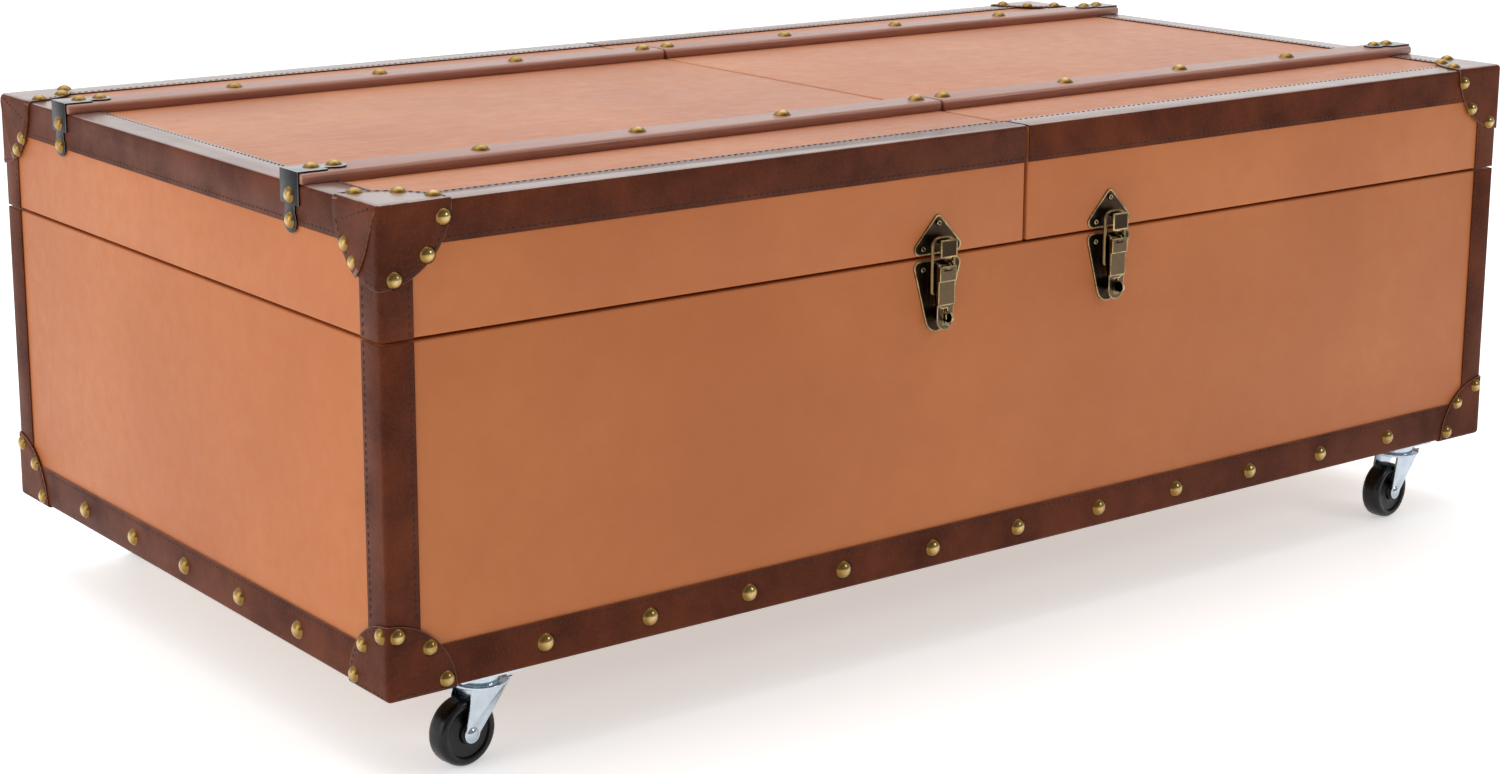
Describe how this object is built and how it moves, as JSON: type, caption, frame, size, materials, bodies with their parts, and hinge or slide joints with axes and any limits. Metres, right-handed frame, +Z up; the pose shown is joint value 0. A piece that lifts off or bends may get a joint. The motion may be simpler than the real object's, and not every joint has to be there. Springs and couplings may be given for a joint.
{
  "type": "steamer trunk",
  "caption": "Low rectangular leather-covered trunk on swivel casters, with side-by-side hinged lids, wooden slats across the top, stitched bindings, corner caps and loop latches for storage.",
  "frame": {"origin": "on the floor under the middle of the case", "axes": "+X along the front from the left end to the right end, -Y towards the front with the latches, +Z up"},
  "size_m": [1.125, 0.6206, 0.406],
  "materials": {
    "tan_leather": "smooth aniline leather over board, fine grain, soft sheen",
    "floor_board": "plain plywood board",
    "binding_leather": "dark brown stitched leather, satin",
    "slat_wood": "stained hardwood, satin varnish",
    "nail_brass": "antique brass, worn",
    "dark_iron": "blackened iron, satin",
    "latch_bronze": "oil-rubbed bronze with worn edges",
    "zinc_steel": "bright zinc plate",
    "wheel_plastic": "hard black plastic, semi-gloss"
  },
  "bodies": {
    "case": {"case_floor": "floor_board", "case_front": "tan_leather", "case_back": "tan_leather", "case_end_left": "tan_leather", "case_end_right": "tan_leather", "case_tongue": "binding_leather", "foot_binding": "binding_leather", "case_corner_bindings": "binding_leather", "foot_corner_caps": "binding_leather", "case_nails": "nail_brass", "hinge_leaves_case": "dark_iron", "hinge_pins": "dark_iron", "hinge_screws_case": "dark_iron", "latch_plate_case_left": "latch_bronze", "latch_plate_case_right": "latch_bronze", "latch_rivets_case": "latch_bronze", "caster_plates": "zinc_steel", "caster_screws": "zinc_steel"},
    "lid_left": {"lid_top_left": "tan_leather", "lid_front_left": "tan_leather", "lid_back_left": "tan_leather", "lid_end_left": "tan_leather", "lid_split_end_left": "tan_leather", "lid_binding_left": "binding_leather", "lid_corner_caps_left": "binding_leather", "lid_slats_left": "slat_wood", "lid_clips_left": "dark_iron", "lid_nails_left": "nail_brass", "lid_rivets_left": "latch_bronze", "hinge_leaves_lid_left": "dark_iron", "latch_plate_lid_left": "latch_bronze"},
    "lever_left": {"latch_lever_left": "latch_bronze"},
    "loop_left": {"latch_loop_left": "latch_bronze"},
    "lid_right": {"lid_top_right": "tan_leather", "lid_front_right": "tan_leather", "lid_back_right": "tan_leather", "lid_end_right": "tan_leather", "lid_split_end_right": "tan_leather", "lid_binding_right": "binding_leather", "lid_corner_caps_right": "binding_leather", "lid_slats_right": "slat_wood", "lid_clips_right": "dark_iron", "lid_nails_right": "nail_brass", "lid_rivets_right": "latch_bronze", "hinge_leaves_lid_right": "dark_iron", "latch_plate_lid_right": "latch_bronze"},
    "lever_right": {"latch_lever_right": "latch_bronze"},
    "loop_right": {"latch_loop_right": "latch_bronze"},
    "fork_fl": {"caster_fork_fl": "zinc_steel", "caster_axle_fl": "zinc_steel"},
    "wheel_fl": {"caster_wheel_fl": "wheel_plastic"},
    "fork_fr": {"caster_fork_fr": "zinc_steel", "caster_axle_fr": "zinc_steel"},
    "wheel_fr": {"caster_wheel_fr": "wheel_plastic"},
    "fork_bl": {"caster_fork_bl": "zinc_steel", "caster_axle_bl": "zinc_steel"},
    "wheel_bl": {"caster_wheel_bl": "wheel_plastic"},
    "fork_br": {"caster_fork_br": "zinc_steel", "caster_axle_br": "zinc_steel"},
    "wheel_br": {"caster_wheel_br": "wheel_plastic"}
  },
  "joints": [
    {"name": "lid_left_hinge", "type": "hinge", "parent": "case", "child": "lid_left", "pos_m": [-0.28, 0.3007, 0.305], "axis": [-1, 0, 0], "range_deg": [0, 95]},
    {"name": "lever_left_pivot", "type": "hinge", "parent": "case", "child": "lever_left", "pos_m": [-0.088, -0.3035, 0.2975], "axis": [-1, 0, 0], "range_deg": [0, 100]},
    {"name": "loop_left_pivot", "type": "hinge", "parent": "lid_left", "child": "loop_left", "pos_m": [-0.088, -0.3035, 0.31985], "axis": [-1, 0, 0], "range_deg": [0, 90]},
    {"name": "lid_right_hinge", "type": "hinge", "parent": "case", "child": "lid_right", "pos_m": [0.28, 0.3007, 0.305], "axis": [-1, 0, 0], "range_deg": [0, 95]},
    {"name": "lever_right_pivot", "type": "hinge", "parent": "case", "child": "lever_right", "pos_m": [0.088, -0.3035, 0.2975], "axis": [-1, 0, 0], "range_deg": [0, 100]},
    {"name": "loop_right_pivot", "type": "hinge", "parent": "lid_right", "child": "loop_right", "pos_m": [0.088, -0.3035, 0.31985], "axis": [-1, 0, 0], "range_deg": [0, 90]},
    {"name": "caster_swivel_fl", "type": "hinge", "parent": "case", "child": "fork_fl", "pos_m": [-0.475, -0.2755, 0.06], "axis": [0, 0, 1], "continuous": true},
    {"name": "wheel_spin_fl", "type": "hinge", "parent": "fork_fl", "child": "wheel_fl", "pos_m": [-0.49084, -0.27773, 0.024], "axis": [0.1392, -0.9903, 0], "continuous": true},
    {"name": "caster_swivel_fr", "type": "hinge", "parent": "case", "child": "fork_fr", "pos_m": [0.475, -0.2755, 0.06], "axis": [0, 0, 1], "continuous": true},
    {"name": "wheel_spin_fr", "type": "hinge", "parent": "fork_fr", "child": "wheel_fr", "pos_m": [0.45912, -0.27745, 0.024], "axis": [0.1219, -0.9925, 0], "continuous": true},
    {"name": "caster_swivel_bl", "type": "hinge", "parent": "case", "child": "fork_bl", "pos_m": [-0.475, 0.2755, 0.06], "axis": [0, 0, 1], "continuous": true},
    {"name": "wheel_spin_bl", "type": "hinge", "parent": "fork_bl", "child": "wheel_bl", "pos_m": [-0.45997, 0.28097, 0.024], "axis": [-0.342, 0.9397, 0], "continuous": true},
    {"name": "caster_swivel_br", "type": "hinge", "parent": "case", "child": "fork_br", "pos_m": [0.475, 0.2755, 0.06], "axis": [0, 0, 1], "continuous": true},
    {"name": "wheel_spin_br", "type": "hinge", "parent": "fork_br", "child": "wheel_br", "pos_m": [0.49003, 0.27003, 0.024], "axis": [0.342, 0.9397, 0], "continuous": true}
  ]
}
